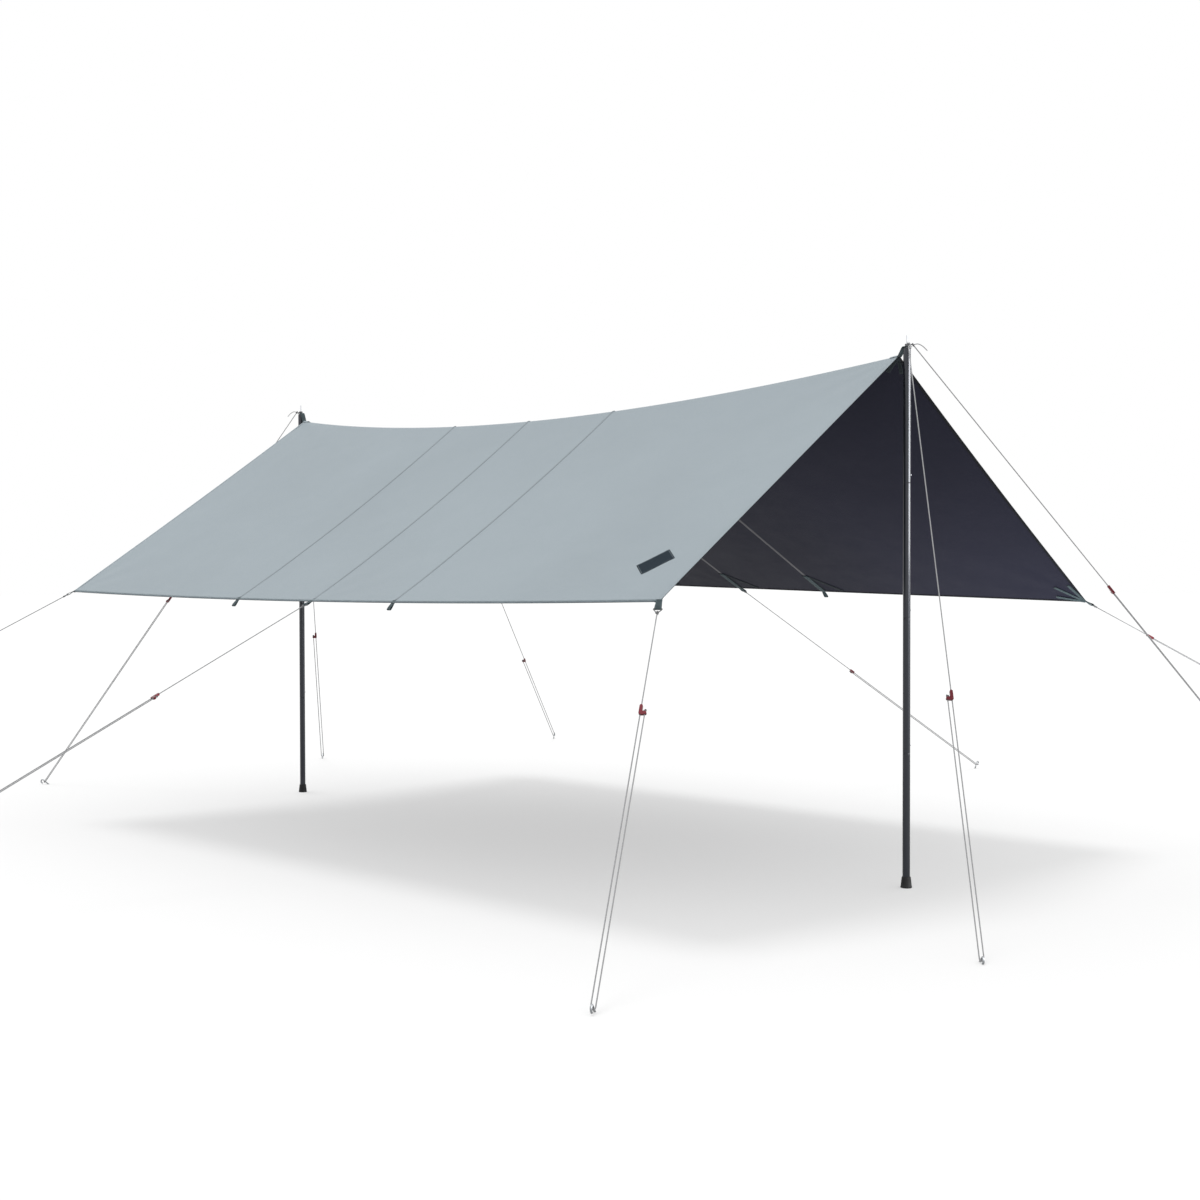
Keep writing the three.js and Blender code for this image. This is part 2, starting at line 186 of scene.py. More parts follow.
# camera, light and floor
CAMERA_PLACE = (5.7176, -5.3072, 1.1983)
CAMERA_TURN = (135.505, -1.147, -0.105)  # yaw, pitch and roll, in degrees
SENSOR = 36
LENS = 52.05
SKY = 1.57
SUN_ENERGY = 1.7
SUN_ANGLE = 18
SUN_TILT = -13
STRIP_LIGHT = {"size": (5, 2.2), "energy": 700, "place": (6.6, 2.3, 2.3)}
STRIP_AIM = (POLE_X, 0, 1.6)
BOUNCE_LIGHT = {"size": (1.6, 1.4), "energy": 42, "place": (2.0, 1.15, 0.03)}
FLOOR_HALF = 60
FLOOR_COLOUR = 0.285
FLOOR_GLOW = 0.445  # lifts the floor to plain white, and its shadow to a pale grey


# ---------- camera and light ----------
def make_camera():
    yaw, pitch, roll = (math.radians(x) for x in CAMERA_TURN)
    data = bpy.data.cameras.new("camera")
    data.sensor_width = SENSOR
    data.lens = LENS
    camera = bpy.data.objects.new("camera", data)
    bpy.context.collection.objects.link(camera)
    ahead = Vector((math.cos(pitch) * math.cos(yaw), math.cos(pitch) * math.sin(yaw), math.sin(pitch)))
    camera.location = CAMERA_PLACE
    camera.rotation_mode = "QUATERNION"
    camera.rotation_quaternion = ahead.to_track_quat("-Z", "Y") @ Quaternion((0, 0, 1), roll)
    bpy.context.scene.camera = camera


def make_sky():
    """Plain white in the picture, and brighter where it lights the object."""
    scene = bpy.context.scene
    scene.view_settings.view_transform = "Standard"
    world = bpy.data.worlds.new("studio")
    world.use_nodes = True
    tree = world.node_tree
    background = tree.nodes["Background"]
    background.inputs["Color"].default_value = (1, 1, 1, 1)
    rays = tree.nodes.new("ShaderNodeLightPath")
    strength = tree.nodes.new("ShaderNodeMapRange")
    strength.inputs["To Min"].default_value = SKY
    tree.links.new(rays.outputs["Is Camera Ray"], strength.inputs["Value"])
    tree.links.new(strength.outputs[0], background.inputs["Strength"])
    scene.world = world


def add_lamp(data, place):
    lamp = bpy.data.objects.new(data.name, data)
    lamp.location = place
    bpy.context.collection.objects.link(lamp)
    return lamp


def soft_box(name, size, energy, place):
    data = bpy.data.lights.new(name, "AREA")
    data.shape = "RECTANGLE"
    data.size, data.size_y = size
    data.energy = energy
    lamp = add_lamp(data, place)
    lamp.visible_camera = False
    return lamp


def make_lamps():
    data = bpy.data.lights.new("overhead", "SUN")
    data.energy = SUN_ENERGY
    data.angle = math.radians(SUN_ANGLE)
    sun = add_lamp(data, (0, 0, 6))
    sun.rotation_euler = (0, math.radians(SUN_TILT), 0)
    # to the right of the poles, and only shows as a highlight on shiny pieces
    strip = soft_box("strip", **STRIP_LIGHT)
    strip.rotation_mode = "QUATERNION"
    strip.rotation_quaternion = (Vector(STRIP_AIM) - strip.location).to_track_quat("-Z", "Y")
    strip.visible_diffuse = False
    # light thrown up from the ground under the front right corner, which lifts that part of the underside
    bounce = soft_box("bounce", **BOUNCE_LIGHT)
    bounce.rotation_euler = (math.pi, 0, 0)
    bounce.visible_glossy = False


# ---------- materials ----------
class Look:
    """A material's node tree, with short ways to build on it."""

    def __init__(self, name, colour, roughness, metallic=0.0, specular=0.5, **sockets):
        self.material = bpy.data.materials.new(name)
        self.material.use_nodes = True
        self.tree = self.material.node_tree
        self.shader = self.tree.nodes["Principled BSDF"]
        self.colour = colour
        self.normal = None
        self.feed("Base Color", (*colour, 1))
        self.feed("Specular IOR Level", specular)
        for socket, value in dict(sockets, roughness=roughness, metallic=metallic).items():
            self.feed(socket.replace("_", " ").title(), value)

    def feed(self, socket, value, node=None):
        """Sets a socket to a constant, or links it to a node's output; it is the shader's by default."""
        socket = (node or self.shader).inputs[socket]
        if isinstance(value, bpy.types.NodeSocket):
            self.tree.links.new(value, socket)
        elif value is not None:
            socket.default_value = value

    def node(self, kind, sockets=(), **settings):
        node = self.tree.nodes.new(kind)
        for key, value in settings.items():
            setattr(node, key, value)
        for socket, value in dict(sockets).items():
            self.feed(socket, value, node)
        return node

    def math(self, operation, *values):
        return self.node("ShaderNodeMath", enumerate(values), operation=operation).outputs[0]

    def place(self):
        """The piece's own coordinates, in metres: along it, across it, and out from its middle."""
        place = self.node("ShaderNodeAttribute", attribute_name="place").outputs["Vector"]
        return tuple(self.node("ShaderNodeSeparateXYZ", {0: place}).outputs)

    def angle(self):
        """The angle round a cord."""
        _, across, out = self.place()
        return self.math("ARCTAN2", out, across)

    def noise(self, scale, detail=3.0, roughness=0.5, stretch=(1, 1, 1)):
        """Soft noise in the object's own space, 0..1."""
        where = self.node("ShaderNodeTexCoord").outputs["Object"]
        where = self.node("ShaderNodeMapping", {"Vector": where, "Scale": stretch}).outputs[0]
        sockets = {"Vector": where, "Scale": scale, "Detail": detail, "Roughness": roughness}
        return self.node("ShaderNodeTexNoise", sockets).outputs["Fac"]

    def ranged(self, value, low, high, start=0.0, end=1.0):
        """Goes from low to high, and no further, as the value goes from start to end."""
        sockets = {"Value": value, "From Min": start, "From Max": end, "To Min": low, "To Max": high}
        return self.node("ShaderNodeMapRange", sockets).outputs[0]

    def tint(self, amount, other):
        """Turns the colour towards another one by amount, 0..1."""
        socket = self.shader.inputs["Base Color"]
        below = socket.links[0].from_socket if socket.links else (*self.colour, 1)
        mix = self.node("ShaderNodeMix", {0: amount, 6: below, 7: (*other, 1)}, data_type="RGBA")
        self.feed("Base Color", mix.outputs[2])

    def bump(self, height, distance, strength=1.0):
        sockets = {"Height": height, "Distance": distance, "Strength": strength, "Normal": self.normal}
        self.normal = self.node("ShaderNodeBump", sockets).outputs[0]
        self.feed("Normal", self.normal)

    def rough(self, value):
        self.feed("Roughness", value)

    def wave(self, value, pitch):
        return self.math("SINE", self.math("MULTIPLY", value, 2 * math.pi / pitch))

    def weave(self, pitch_along, pitch_across):
        """Over-and-under threads of a plain weave, -1..1."""
        along, across, _ = self.place()
        return self.math("MULTIPLY", self.wave(along, pitch_along), self.wave(across, pitch_across))

    def stitches(self, rows, length=0.0035, thread=0.0005):
        """1 on the threads of two rows of stitching along a strip, each at its own distance across."""
        along, across, _ = self.place()
        dashes = self.math("LESS_THAN", self.math("FRACT", self.math("DIVIDE", along, length)), 0.72)
        first, second = (self.math("COMPARE", across, row, thread) for row in rows)
        return self.math("MULTIPLY", dashes, self.math("MAXIMUM", first, second))


def shade(colour, factor):
    return tuple(min(1.0, c * factor) for c in colour)


def cloth_look(name, colour, roughness, sheen, mottle=0.06, specular=0.5):
    """Coated plain-weave cloth: fine threads, faint creases and an uneven dye."""
    look = Look(name, colour, roughness, specular=specular, sheen_weight=sheen, sheen_roughness=0.5)
    look.tint(look.ranged(look.noise(1.3, 2), 0, 1, 0.35, 0.7), shade(colour, 1 - mottle))
    look.tint(look.ranged(look.noise(240, 2), 0, 0.5, 0.4, 0.75), shade(colour, 1 + mottle))
    look.rough(look.ranged(look.noise(9, 4), roughness - 0.06, roughness + 0.06))
    look.bump(look.noise(7, 3, stretch=(1, 1.6, 1.6)), 0.004, 0.35)
    look.bump(look.noise(60, 4), 0.0006, 0.25)
    look.bump(look.weave(0.0009, 0.0009), 0.00012, 0.5)
    return look


def outer_cloth():
    look = cloth_look("outer_cloth", (0.168, 0.198, 0.216), 0.75, 0.05, specular=0.25)
    along, across, _ = look.place()
    for seam in SEAMS:
        away = look.math("ABSOLUTE", look.math("SUBTRACT", along, seam * RIDGE_HALF))
        close = look.ranged(away, 1, 0, 0.004, 0.03)
        pucker = look.math("MULTIPLY", close, look.wave(across, 0.021))
        look.bump(pucker, 0.0006, 0.35)
    return look.material


def under_cloth():
    return cloth_look("under_cloth", (0.0103, 0.0107, 0.0188), 0.55, 0.0, mottle=0.12, specular=0.06).material


def seam_cloth():
    look = cloth_look("seam_cloth", (0.138, 0.163, 0.178), 0.75, 0.05, specular=0.25)
    thread = look.stitches((-0.0032, 0.0032))
    look.tint(thread, (0.100, 0.118, 0.128))
    look.bump(look.math("MULTIPLY", thread, -1), 0.0004, 0.8)
    return look.material


def seam_tape():
    return cloth_look("seam_tape", (0.031, 0.031, 0.036), 0.45, 0.0, mottle=0.15, specular=0.3).material


def webbing(name="webbing", colour=(0.026, 0.038, 0.042), rows=(-0.009, 0.009), sheen=0.06):
    """Ribbed polyester webbing, with a line of stitching near each edge."""
    look = Look(name, colour, 0.78, specular=0.15, sheen_weight=sheen, sheen_roughness=0.4)
    ribs = look.weave(0.0032, 0.0016)
    look.tint(look.ranged(ribs, 0, 0.6, -1, 1), shade(colour, 1.9))
    look.tint(look.ranged(look.noise(40, 3), 0, 0.5, 0.4, 0.8), shade(colour, 0.6))
    look.bump(ribs, 0.0004, 0.7)
    thread = look.stitches(rows, 0.0042, 0.0006)
    look.tint(thread, shade(colour, 3.2))
    look.bump(thread, 0.0004, 0.5)
    return look.material


def hem_tape():
    """Grosgrain binding sewn over the cloth's edges."""
    return webbing("hem_tape", (0.062, 0.078, 0.086), (-0.0035, 0.0035))


def pole_metal():
    """Dark anodised aluminium tube with a faint drawn grain and light scuffs."""
    colour = (0.016, 0.018, 0.024)
    look = Look("pole_metal", colour, 0.3, 0.6, specular=0.2, coat_weight=0.45, coat_roughness=0.12)
    grain = look.noise(90, 2, stretch=(1, 1, 0.01))
    look.rough(look.ranged(grain, 0.27, 0.35))
    look.bump(grain, 0.0001, 0.04)
    scuff = look.noise(38, 6, 0.7, stretch=(1, 1, 0.25))
    look.tint(look.ranged(scuff, 0, 0.35, 0.66, 0.8), (0.05, 0.053, 0.062))
    return look.material


def rubber():
    look = Look("rubber", (0.010, 0.010, 0.011), 0.7, specular=0.2)
    grain = look.noise(700, 3)
    look.bump(grain, 0.0002, 0.5)
    look.tint(look.ranged(look.noise(60, 4), 0, 0.6, 0.5, 0.8), (0.03, 0.03, 0.03))
    look.rough(look.ranged(grain, 0.6, 0.82))
    return look.material


def steel(name="steel", colour=(0.46, 0.47, 0.49), roughness=0.32):
    look = Look(name, colour, roughness, 1.0)
    grain = look.noise(260, 4, stretch=(1, 1, 0.2))
    look.rough(look.ranged(grain, roughness - 0.08, roughness + 0.12))
    look.tint(look.ranged(look.noise(45, 5, 0.65), 0, 0.6, 0.5, 0.85), shade(colour, 0.55))
    look.bump(grain, 0.00008, 0.3)
    return look.material


def braid(name="braid", colour=(0.24, 0.243, 0.248)):
    """Braided cord: two sets of strands that cross, with a few darker tracer threads."""
    look = Look(name, colour, 0.7, specular=0.25, sheen_weight=0.05)
    along, _, _ = look.place()
    pitch = 0.0052
    turn = look.math("MULTIPLY", look.angle(), 3 * pitch / (2 * math.pi))
    one = look.wave(look.math("ADD", along, turn), pitch)
    other = look.wave(look.math("SUBTRACT", along, turn), pitch)
    strands = look.math("MAXIMUM", one, other)
    look.bump(strands, 0.0005, 0.8)
    # darker in the gaps between the strands: painted shade
    look.tint(look.ranged(strands, 0.5, 0, 0.2, 0.9), shade(colour, 0.7))
    tracer = look.math("GREATER_THAN", look.wave(look.math("ADD", along, turn), 3 * pitch), 0.86)
    look.tint(look.math("MULTIPLY", tracer, 0.3), shade(colour, 0.4))
    return look.material


def red_metal():
    """Red anodised aluminium."""
    colour = (0.085, 0.010, 0.015)
    look = Look("red_metal", colour, 0.4, 0.6, specular=0.2, coat_weight=0.1)
    grain = look.noise(420, 3)
    look.rough(look.ranged(grain, 0.28, 0.42))
    look.tint(look.ranged(look.noise(150, 5, 0.7), 0, 0.6, 0.6, 0.85), shade(colour, 0.6))
    look.bump(grain, 0.00005, 0.3)
    return look.material


def patch_cloth():
    """A plain woven patch with a stitched border."""
    look = Look("patch_cloth", (0.008, 0.014, 0.020), 0.8, specular=0.05)
    weave = look.weave(0.0011, 0.0011)
    look.bump(weave, 0.0002, 0.5)
    look.tint(look.ranged(weave, 0, 0.4, -1, 1), (0.016, 0.024, 0.032))
    along, across, _ = look.place()
    lines, insides = [], []
    for value, half in ((along, PATCH_HALF_LONG), (across, PATCH_HALF_WIDE)):
        away = look.math("ABSOLUTE", value)
        lines.append(look.math("COMPARE", away, half - PATCH_STITCH_IN, 0.0007))
        insides.append(look.math("LESS_THAN", away, half - PATCH_STITCH_IN + 0.0008))
    border = look.math("MULTIPLY", look.math("MAXIMUM", *lines), look.math("MULTIPLY", *insides))
    look.tint(border, (0.10, 0.12, 0.13))
    look.bump(border, 0.0005, 0.7)
    return look.material


# ---------- meshes ----------
def add_piece(name, points, faces, material, body=ROOT, slot=None, place=None, smooth=True):
    mesh = bpy.data.meshes.new(name)
    mesh.from_pydata([tuple(p) for p in points], [], faces)
    if place is not None:
        attribute = mesh.attributes.new("place", "FLOAT_VECTOR", "POINT")
        attribute.data.foreach_set("vector", np.array(place, np.float32).ravel())
    mesh.polygons.foreach_set("use_smooth", [smooth] * len(mesh.polygons))
    mesh.materials.append(material)
    piece = bpy.data.objects.new(name, mesh)
    bpy.context.collection.objects.link(piece)
    if body:
        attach(piece, body)
    return piece


def soften(piece, width, segments=2, angle=35):
    """Rounds a piece's hard edges, and keeps its flat faces looking flat."""
    bevel = piece.modifiers.new("soften", "BEVEL")
    bevel.width = width
    bevel.segments = segments
    bevel.limit_method = "ANGLE"
    bevel.angle_limit = math.radians(angle)
    bevel.harden_normals = True
    return piece


def sweep(frames, section, closed=False):
    """Points, faces and places of a section carried along frames of (centre, side, normal).

    The section is a ring of (side, normal) offsets, or one such ring for each frame. A point's place is its
    distance along the sweep, then its offsets from the centre.
    """
    rings = section if isinstance(section[0][0], (tuple, list)) else [section] * len(frames)
    count = len(rings[0])
    points, place, faces = [], [], []
    distance = 0.0
    for i, (centre, side, normal) in enumerate(frames):
        if i:
            distance += (centre - frames[i - 1][0]).length
        for a, b in rings[i]:
            points.append(centre + side * a + normal * b)
            place.append((distance, a, b))
    rows = len(frames) if closed else len(frames) - 1
    for i in range(rows):
        here, there = i * count, ((i + 1) % len(frames)) * count
        for j in range(count):
            k = (j + 1) % count
            faces.append((here + j, here + k, there + k, there + j))
    if not closed:
        faces.append(tuple(reversed(range(count))))
        faces.append(tuple(range(len(points) - count, len(points))))
    return points, faces, place


def swept(name, frames, section, material, body=ROOT, slot=None, closed=False):
    """A piece that is a section carried along frames."""
    points, faces, place = sweep(frames, section, closed)
    return add_piece(name, points, faces, material, body, slot, place)


def strip_section(width, thickness):
    return [(a * width, b * thickness) for a, b in STRIP_RING]


def round_section(radius, sides):
    turns = [2 * math.pi * i / sides for i in range(sides)]
    return [(radius * math.cos(a), radius * math.sin(a)) for a in turns]


def heading(path, i):
    """The direction of a path at its point i."""
    return (path[min(len(path) - 1, i + 1)] - path[max(0, i - 1)]).normalized()


def frame_at(point, ahead, side):
    side = (side - ahead * side.dot(ahead)).normalized()
    return point, side, ahead.cross(side)


def along_path(path, side):
    """Frames along a path, turned as little as possible from the first side given."""
    frames = []
    for i, point in enumerate(path):
        frames.append(frame_at(point, heading(path, i), side))
        side = frames[-1][1]
    return frames


def along_loop(path, side):
    """Frames along a closed path that stays near one plane; side is never along it."""
    headings = [(path[(i + 1) % len(path)] - path[i - 1]).normalized() for i in range(len(path))]
    return [frame_at(point, ahead, side) for point, ahead in zip(path, headings)]


def smooth_path(points, steps, closed=False):
    """A Catmull-Rom curve through the points, with steps pieces between each two."""
    count = len(points)
    made = []
    for i in range(count if closed else count - 1):
        near = (i - 1, i, i + 1, i + 2)
        a, b, c, d = (Vector(points[k % count if closed else min(count - 1, max(0, k))]) for k in near)
        for j in range(steps):
            t = j / steps
            cubic = 3 * b - a - 3 * c + d
            made.append(0.5 * (2 * b + (c - a) * t + (2 * a - 5 * b + 4 * c - d) * t**2 + cubic * t**3))
    if not closed:
        made.append(Vector(points[-1]))
    return made


def turned(profile, sides, origin):
    """Points and faces of a solid turned about Z from (radius, height) pairs, from the axis to the axis."""
    points, faces, rings = [], [], []
    for radius, height in profile:
        ring = []
        for i in range(sides if radius > 0 else 1):
            angle = 2 * math.pi * i / sides
            ring.append(len(points))
            points.append(origin + Vector((radius * math.cos(angle), radius * math.sin(angle), height)))
        rings.append(ring)
    for lower, upper in zip(rings, rings[1:]):
        for i in range(sides):
            corners = ((lower, i), (lower, i + 1), (upper, i + 1), (upper, i))
            faces.append(tuple(dict.fromkeys(ring[k % len(ring)] for ring, k in corners)))
    return points, faces


def drill(piece, cutter):
    """Cuts a hole through a piece, and removes the cutter."""
    cut = piece.modifiers.new("drill", "BOOLEAN")
    cut.operation = "DIFFERENCE"
    cut.solver = "EXACT"
    cut.object = cutter
    shape = bpy.data.meshes.new_from_object(piece.evaluated_get(bpy.context.evaluated_depsgraph_get()))
    piece.modifiers.clear()
    piece.data = shape
    bpy.data.objects.remove(cutter)


def make_cutter(start, end, radius, sides=32):
    """A plain cylinder, for cutting holes."""
    frames = along_path([start, end], (end - start).orthogonal())
    points, faces, _ = sweep(frames, round_section(radius, sides))
    mesh = bpy.data.meshes.new("cutter")
    mesh.from_pydata([tuple(p) for p in points], [], faces)
    rod = bpy.data.objects.new("cutter", mesh)
    bpy.context.collection.objects.link(rod)
    return rod


def make_floor():
    corners = [(x * FLOOR_HALF, y * FLOOR_HALF, -GAP) for x, y in ((-1, -1), (1, -1), (1, 1), (-1, 1))]
    glow = {"emission_color": (1, 1, 1, 1), "emission_strength": FLOOR_GLOW}
    look = Look("floor", (FLOOR_COLOUR,) * 3, 0.9, specular=0, **glow)
    add_piece("floor", corners, [(0, 1, 2, 3)], look.material, None, smooth=False)


# ---------- the cloth's shape ----------
def lerp(a, b, t):
    return a + (b - a) * t


def ridge_height(x):
    return RIDGE_LOW + RIDGE_RISE * (x - RIDGE_LOW_X) ** 2


def edge_height(edge, along):
    straight = lerp(edge["rear"], edge["front"], (along + 1) / 2)
    return straight - edge["sag"] * (1 - along * along)


def cloth_point(along, across):
    """Middle surface of the cloth."""
    edge = EDGES["left"] if across < 0 else EDGES["right"]
    out = abs(across)
    middle = 1 - along * along
    x = along * lerp(RIDGE_HALF, CORNER_X, out * out)
    y = across * (EDGE_Y - EDGE_INSET * middle) - RIDGE_DRIFT * middle * (1 - out)
    chord = lerp(ridge_height(x), edge_height(edge, along), out)
    z = chord - 4 * (GABLE_SAG + edge["slope_sag"] * middle) * out * (1 - out)
    return Vector((x, y, z))


def cloth_frame(along, across):
    """(point, direction to the front, direction across to the right, normal upwards) on the cloth."""
    step = 0.002
    across = max(-1 + step, min(1 - step, across)) if abs(across) <= 1 else across
    point = cloth_point(along, across)
    front = (cloth_point(along + step, across) - cloth_point(along - step, across)).normalized()
    side = across if abs(across) > step else math.copysign(step, across or 1)
    right = (cloth_point(along, side + step / 2) - cloth_point(along, side - step / 2)).normalized()
    return point, front, right, front.cross(right).normalized()


def tension_folds(along, across):
    """Faint folds that fan out from where the cloth is pulled."""
    height = 0.0
    for anchor_along, anchor_across, amount in FOLD_ANCHORS:
        dx = (along - anchor_along) * RIDGE_HALF
        dy = (across - anchor_across) * SLOPE
        away = math.hypot(dx, dy)
        angle = math.atan2(dy, dx)
        fade = away / (away + 0.08) * math.exp(-away / FOLD_REACH)
        height += amount * fade * math.cos(11 * angle + 3 * anchor_along + anchor_across)
    return height


def panel_sag(along):
    """Each panel bellies a little between its seams."""
    edges = (-1, *SEAMS, 1)
    for low, high in zip(edges, edges[1:]):
        if low <= along <= high:
            t = (along - low) / (high - low)
            return -PANEL_SAG * 4 * t * (1 - t)
    return 0.0


def drawn_point(along, across):
    """The cloth's middle with its folds and sags, which die out at the edges, and the normal there."""
    point, _, _, normal = cloth_frame(along, across)
    inside = max(0, 1 - abs(across))
    rise = tension_folds(along, across) * min(1, 8 * inside + 0.25)
    rise += panel_sag(along) * min(1, 4 * inside) * min(1, 4 * abs(across))
    return point + normal * rise, normal


def grid_steps():
    """Rows across the cloth, close together at the ridge."""
    half = [*np.linspace(1, 0.02, GRID_ROWS), 0.012, 0.006, 0.002]
    return [-x for x in half] + [0.0] + half[::-1]


def two_faced(wide, high):
    """Faces of a sheet of two layers of wide x high points: its upper ones, its lower ones and its rim's."""
    layer = wide * high
    corners = [i * wide + j for i in range(high - 1) for j in range(wide - 1)]
    upper = [(a, a + 1, a + wide + 1, a + wide) for a in corners]
    lower = [tuple(layer + v for v in reversed(face)) for face in upper]
    ring = list(range(wide))
    ring += [i * wide + wide - 1 for i in range(1, high)]
    ring += [(high - 1) * wide + j for j in range(wide - 2, -1, -1)]
    ring += [i * wide for i in range(high - 2, 0, -1)]
    rim = [(b, a, layer + a, layer + b) for a, b in zip(ring, ring[1:] + ring[:1])]
    return upper, lower, rim


def make_canopy(outer, under):
    """One sheet with two faces and a rim, its ridge rounded over and its slopes gently drawn."""
    rows = grid_steps()
    columns = np.linspace(-1, 1, GRID_COLUMNS)
    above, below, place = [], [], []
    for across in rows:
        for along in columns:
            point, normal = drawn_point(along, across)
            point.z -= max(0.0, RIDGE_ROUND - abs(across)) * 0.35
            above.append(point + normal * CLOTH / 2)
            below.append(point - normal * CLOTH / 2)
            place.append((along * RIDGE_HALF, across * SLOPE, 0))
    upper, lower, rim = two_faced(len(columns), len(rows))
    faces = upper + lower + rim
    canopy = add_piece("canopy", above + below, faces, outer, slot="canopy_cloth", place=place * 2)
    canopy.data.materials.append(under)
    marks = [0] * len(upper) + [1] * len(lower) + [0] * len(rim)
    canopy.data.polygons.foreach_set("material_index", marks)
    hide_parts("canopy_cloth")
    return canopy


# ---------- strips that lie on the cloth ----------
def cloth_strip(route, lift):
    """Frames along a route of (along, across), lifted off the cloth along its normal."""
    drawn = [drawn_point(*place) for place in route]
    centres = [point + normal * lift for point, normal in drawn]
    frames = []
    for i, (_, normal) in enumerate(drawn):
        frames.append((centres[i], normal.cross(heading(centres, i)).normalized(), normal))
    return frames


def lay_strip(name, route, strip, material, deeper=0, slot="webbing"):
    lift, width, thickness = strip
    frames = cloth_strip(route, lift - deeper)
    return swept(name, frames, strip_section(width, thickness), material, slot=slot)


def between(start, end, steps):
    return [tuple(lerp(a, b, i / steps) for a, b in zip(start, end)) for i in range(steps + 1)]


def make_seams(outer_material, tape_material):
    """A flat-felled seam outside and a sealing tape inside, over each slope from edge to edge."""
    for i, along in enumerate(SEAMS):
        route = [(along, across) for across in grid_steps()[::-1] if abs(across) <= SEAM_END]
        lay_strip(f"seam_{i + 1}", route, SEAM, outer_material, slot="canopy_cloth")
        lay_strip(f"seam_tape_{i + 1}", route, SEAM_TAPE, tape_material, slot="canopy_cloth")


def make_hem(binding, cloth, under):
    """A hem on each of the four edges: bound along the sides, and turned under at the open ends. Its under
    faces and rim are near-black, a painted shade line along each edge.
    """
    columns = np.linspace(-1, 1, 97)
    routes = {hand: [(along, side * (1 - HEM_IN / SLOPE)) for along in columns] for side, hand in HANDS}
    for front, end in reversed(ENDS):
        routes[end] = [(front * (1 - HEM_IN / RIDGE_HALF), across) for across in grid_steps()]
    for name, route in routes.items():
        mesh = lay_strip(f"hem_{name}", route, HEM, binding if name in EDGES else cloth).data
        mesh.materials.append(under)
        out = [item.vector[2] for item in mesh.attributes["place"].data]
        # under faces and rim take the near-black tape: painted shade along the edge
        for face in mesh.polygons:
            face.material_index = int(sum(out[v] for v in face.vertices) < CLOTH / 10)


def make_corner_straps(material):
    """Three straps under each corner, fanning out over the cloth from the loop."""
    for front, end in ENDS:
        for side, hand in HANDS:
            root = (front * (1 - 0.004 / RIDGE_HALF), side * (1 - 0.004 / SLOPE))
            for i, (degrees, reach) in enumerate(CORNER_FAN):
                turn = math.radians(degrees)
                tip = (
                    front * (1 - (0.006 + reach * math.sin(turn)) / RIDGE_HALF),
                    side * (1 - (0.006 + reach * math.cos(turn)) / SLOPE),
                )
                name = f"corner_strap_{end}_{hand}_{i + 1}"
                lay_strip(name, between(root, tip, 10), FAN_STRAP, material, deeper=0.0006 * i)


def make_ridge_straps(material):
    """Straps that fan down both slopes from under each end of the ridge."""
    for front, end in ENDS:
        number = 0
        for side, _ in HANDS:
            root = (front * (1 - 0.006 / RIDGE_HALF), side * 0.003)
            for degrees, reach in RIDGE_FAN:
                number += 1
                turn = math.radians(degrees)
                back = 0.008 + reach * math.cos(turn)
                tip = (front * (1 - back / RIDGE_HALF), side * reach * math.sin(turn) / SLOPE)
                name = f"ridge_strap_{end}_{number}"
                lay_strip(name, between(root, tip, 8), FAN_STRAP, material, deeper=0.0004 * (number % 3))


def make_side_straps(material, shade_material):
    """Under each side loop, a strap up the seam on a wider near-black band that paints the strap's shadow,
    and a near-black strip from its top to the edge that paints a shaded fold.
    """
    top = SIDE_STRAP_TOP
    for side, hand in HANDS:
        for i, along in enumerate(SEAMS):
            main = between((along, side * 0.998), (along, side * top), 12)
            fold_shadow = between((along + 0.066, side * 0.992), (along + 0.004, side * (top + 0.004)), 12)
            lay_strip(f"side_strap_{hand}_{i + 1}", main, SIDE_STRAP, material)
            lay_strip(f"side_shade_band_{hand}_{i + 1}", main, SIDE_SHADE_BAND, shade_material)
            lay_strip(f"side_shadow_strip_{hand}_{i + 1}", fold_shadow, SIDE_SHADOW_STRIP, shade_material)


def loop_path(length, eye=0.0033):
    """Webbing out along +u, round the eye and back, as (u, v)."""
    middle = length - eye - WEB / 2
    bottom = [(-0.010, -WEB * 0.55), (0.004, -WEB * 0.55), (0.4 * length, -0.7 * eye), (0.7 * length, -eye)]
    turn = np.linspace(0.15 * math.pi, 0.85 * math.pi, 7)
    bend = [(middle + eye * math.sin(a), -eye * math.cos(a)) for a in turn]
    top = [(u, -v) for u, v in reversed(bottom)]
    return bottom + bend + top


def make_loop(name, start, down, side, material, length=LOOP_LENGTH, width=LOOP_WIDTH, flare=1.0):
    """A folded loop of webbing from start along down; side is across it."""
    normal = down.cross(side).normalized()
    outline = smooth_path([(u, v, 0) for u, v in loop_path(length)], 3)
    path = [start + down * u + normal * v for u, v, _ in outline]
    frames = [(point, side, heading(path, i).cross(side)) for i, point in enumerate(path)]
    sections = []
    for u, _, _ in outline:
        grown = width * lerp(0.94, flare, max(0.0, min(1.0, u / length)))
        sections.append(strip_section(grown, WEB * 0.75))
    return swept(name, frames, sections, material, slot="webbing")


def make_free_loops(material):
    """The side loops that carry no line hang a little from the edge."""
    for side, hand in HANDS:
        for i, along in enumerate(SEAMS):
            if along == 0:
                continue
            point, front, right, _ = cloth_frame(along, side)
            down = (right * side - UP * 0.55).normalized()
            start = point - UP * LOOP_OFF_CLOTH
            make_loop(f"side_loop_{hand}_{i + 1}", start, down, front, material, *FREE_LOOP)


